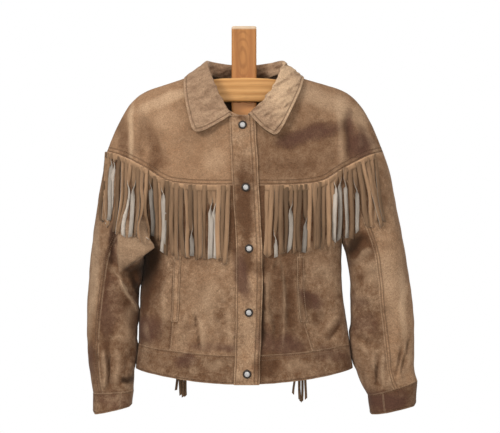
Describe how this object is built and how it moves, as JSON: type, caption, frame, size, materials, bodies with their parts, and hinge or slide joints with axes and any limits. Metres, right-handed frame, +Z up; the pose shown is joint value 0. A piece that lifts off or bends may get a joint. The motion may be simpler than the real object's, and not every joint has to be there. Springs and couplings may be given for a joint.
{
  "type": "fringed suede jacket on a wooden cross hanger",
  "caption": "Waist-length suede jacket with a fringed yoke, snap placket, shirt collar and waistband, hung on a plain wooden cross hanger.",
  "frame": {"origin": "centre of the top end of the hanger's upright, by which the hanger and the jacket are held", "axes": "+Z up, along the upright; the jacket's front faces -Y; +X is to the right as seen from the front"},
  "size_m": [0.6444, 0.1711, 0.7572],
  "materials": {
    "suede": "matt tan-brown suede, blotchy from wear",
    "dark_suede": "matt suede, worn and darkened to purplish brown",
    "pale_suede": "matt sand-tan suede, the collar",
    "fringe_suede": "cut suede strands, nap side out",
    "pine": "honey pine, satin",
    "oak": "orange-brown wood with a lively grain, satin",
    "snap_steel": "dark nickel, dull",
    "snap_pearl": "grey pearl cap"
  },
  "bodies": {
    "root": {"back": "suede", "collar": "pale_suede", "crossbar": "pine", "cuff_left": "dark_suede", "cuff_right": "dark_suede", "fringe_back": "fringe_suede", "fringe_front_left": "fringe_suede", "fringe_front_right": "fringe_suede", "fringe_sleeve_left": "fringe_suede", "fringe_sleeve_right": "fringe_suede", "front_left": "suede", "front_right": "suede", "placket": "suede", "pocket_welt_left": "suede", "pocket_welt_right": "suede", "side_front_left": "dark_suede", "side_front_right": "dark_suede", "sleeve_left_under": "dark_suede", "sleeve_left_upper": "suede", "sleeve_right_under": "dark_suede", "sleeve_right_upper": "suede", "snap_cap_1": "snap_pearl", "snap_cap_2": "snap_pearl", "snap_cap_3": "snap_pearl", "snap_cap_4": "snap_pearl", "snap_cap_5": "snap_pearl", "snap_ring_1": "snap_steel", "snap_ring_2": "snap_steel", "snap_ring_3": "snap_steel", "snap_ring_4": "snap_steel", "snap_ring_5": "snap_steel", "tassel_left": "fringe_suede", "tassel_right": "fringe_suede", "upright": "oak", "waistband_back": "dark_suede", "waistband_left": "dark_suede", "waistband_right": "dark_suede", "yoke_back": "suede", "yoke_front_left": "suede", "yoke_front_right": "suede"}
  },
  "joints": []
}
